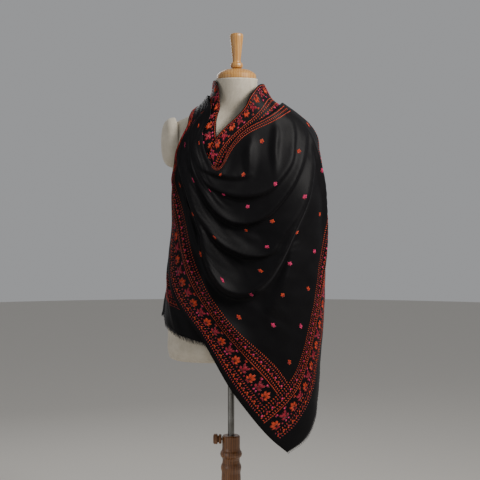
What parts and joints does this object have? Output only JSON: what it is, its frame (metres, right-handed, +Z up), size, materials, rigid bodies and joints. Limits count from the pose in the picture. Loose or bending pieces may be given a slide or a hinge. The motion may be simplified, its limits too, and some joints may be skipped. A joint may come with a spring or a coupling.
{
  "type": "embroidered shawl on dress form",
  "caption": "Dark shawl with an embroidered border and fringed ends, draped over a limbless dress form on a turned wooden stand.",
  "frame": {"origin": "centre of the stand base's underside, on the pole's axis", "axes": "+Z up along the pole; the form's front is towards -Y, turned 15 degrees towards +X; +X is to the right of someone facing the front"},
  "size_m": [0.4558, 0.38, 1.65],
  "materials": {
    "shawl_cloth": "black twill wool with a soft sheen",
    "shawl_fringe": "short black eyelash fringe",
    "form_cover": "cream linen, matt",
    "pale_wood": "pale turned wood, satin varnish",
    "stand_wood": "brown turned wood, satin varnish",
    "pole_steel": "satin steel tube"
  },
  "bodies": {
    "stand": {"base_plate": "stand_wood", "column": "stand_wood"},
    "clamp": {"clamp_knob": "stand_wood"},
    "pole": {"pole": "pole_steel"},
    "form": {"torso": "form_cover", "arm_cap_right": "form_cover", "arm_cap_left": "form_cover", "neck_cap": "pale_wood", "cap_handle": "pale_wood", "shawl_front": "shawl_cloth", "shawl_back": "shawl_cloth", "shawl_neck_left": "shawl_cloth", "shawl_neck_right": "shawl_cloth", "fringe_front": "shawl_fringe", "fringe_back": "shawl_fringe"}
  },
  "joints": [
    {"name": "clamp_turn", "type": "hinge", "parent": "stand", "child": "clamp", "pos_m": [0, 0, 0.538], "axis": [1, 0, 0], "range_deg": [-360, 0]},
    {"name": "height_slide", "type": "slide", "parent": "stand", "child": "pole", "axis": [0, 0, 1], "range_m": [-0.12, 0.15]},
    {"name": "form_swivel", "type": "hinge", "parent": "pole", "child": "form", "pos_m": [0, 0, 0.79], "axis": [0, 0, 1], "continuous": true}
  ]
}
